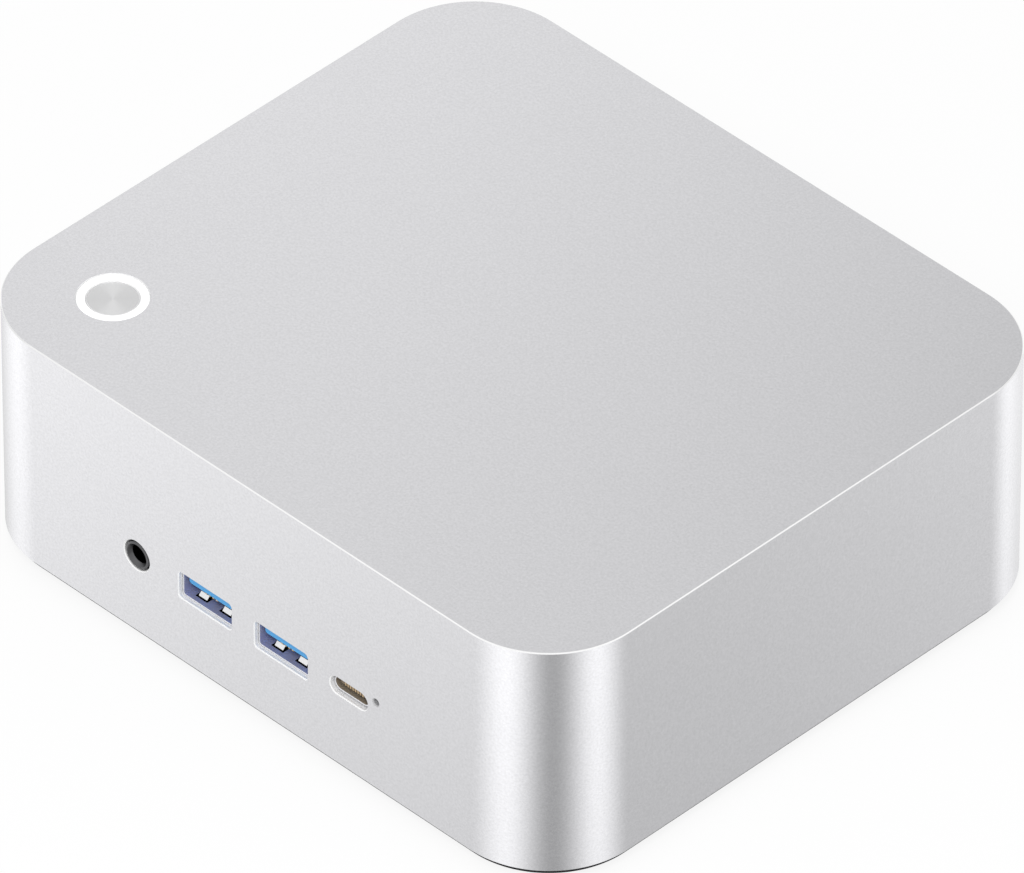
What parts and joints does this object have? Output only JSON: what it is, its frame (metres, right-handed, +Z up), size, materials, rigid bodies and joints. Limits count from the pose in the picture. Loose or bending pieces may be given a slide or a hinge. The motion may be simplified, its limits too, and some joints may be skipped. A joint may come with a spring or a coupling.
{
  "type": "mini pc",
  "caption": "Small desktop computer in a round-cornered aluminium case with front and rear sockets, a lit power button in the lid and a black vented base.",
  "frame": {"origin": "on the floor under the middle of the case, where the feet stand", "axes": "+X to the right along the long side, the socketed front faces -Y, +Z up"},
  "size_m": [0.15, 0.1312, 0.0539],
  "materials": {
    "silver_aluminium": "fine bead-blasted, with a polished top edge",
    "spun_metal": "finely spun in circles",
    "lit_diffuser": "milky diffuser, lit white",
    "black_plastic": "fine matt texture",
    "black_rubber": "matt",
    "screw_steel": "dark zinc",
    "socket_steel": "bright nickel",
    "blue_tongue": "satin blue",
    "black_tongue": "satin black",
    "dark_collar": "dark nickel",
    "circuit_board": "dark solder mask",
    "chip_package": "moulded package",
    "copper": "bare copper, satin",
    "fin_aluminium": "plain sheet",
    "antenna_film": "printed film"
  },
  "bodies": {
    "chassis": {"antenna_left": "antenna_film", "antenna_right": "antenna_film", "audio_jack": "dark_collar", "board_screw_1": "screw_steel", "board_screw_2": "screw_steel", "board_screw_3": "screw_steel", "board_screw_4": "screw_steel", "bottom_cover": "black_plastic", "button_board": "circuit_board", "button_holder": "black_plastic", "coin_cell": "screw_steel", "cold_plate": "copper", "cover_screw_1": "screw_steel", "cover_screw_2": "screw_steel", "cover_screw_3": "screw_steel", "cover_screw_4": "screw_steel", "drive": "circuit_board", "drive_screw": "screw_steel", "drive_socket": "black_plastic", "fan_cover": "fin_aluminium", "fan_housing": "black_plastic", "fin_stack": "fin_aluminium", "heat_pipe_left": "copper", "heat_pipe_right": "copper", "holder_screw_1": "screw_steel", "holder_screw_2": "screw_steel", "light_ring": "lit_diffuser", "memory_module": "circuit_board", "memory_socket": "black_plastic", "motherboard": "circuit_board", "network_socket_1": "socket_steel", "network_socket_2": "socket_steel", "power_inlet": "black_tongue", "power_switch": "socket_steel", "processor": "chip_package", "radio_module": "socket_steel", "rear_panel": "black_plastic", "reset_switch": "socket_steel", "rubber_foot_1": "black_rubber", "rubber_foot_2": "black_rubber", "rubber_foot_3": "black_rubber", "rubber_foot_4": "black_rubber", "top_housing": "silver_aluminium", "type_a_front_1_shell": "socket_steel", "type_a_front_1_tongue": "blue_tongue", "type_a_front_2_shell": "socket_steel", "type_a_front_2_tongue": "blue_tongue", "type_a_rear_shell": "socket_steel", "type_a_rear_tongue": "black_tongue", "type_c_front_shell": "socket_steel", "type_c_front_tongue": "black_tongue", "type_c_rear_shell": "socket_steel", "type_c_rear_tongue": "black_tongue", "video_shell": "socket_steel", "video_tongue": "black_tongue"},
    "power_button": {"power_button_cap": "spun_metal", "switch_plunger": "black_tongue"},
    "fan": {"fan_rotor": "black_plastic"},
    "reset_button": {"reset_plunger": "black_tongue"}
  },
  "joints": [
    {"name": "power_press", "type": "slide", "parent": "chassis", "child": "power_button", "axis": [0, 0, -1], "range_m": [0, 0.0005], "stiffness_N_per_m": 600, "springref_m": -0.0003},
    {"name": "fan_spin", "type": "hinge", "parent": "chassis", "child": "fan", "pos_m": [-0.0147, 0.00627, 0.04195], "axis": [0, 0, 1], "continuous": true},
    {"name": "reset_press", "type": "slide", "parent": "chassis", "child": "reset_button", "axis": [0, 1, 0], "range_m": [0, 0.0003], "stiffness_N_per_m": 400, "springref_m": -0.0002}
  ]
}
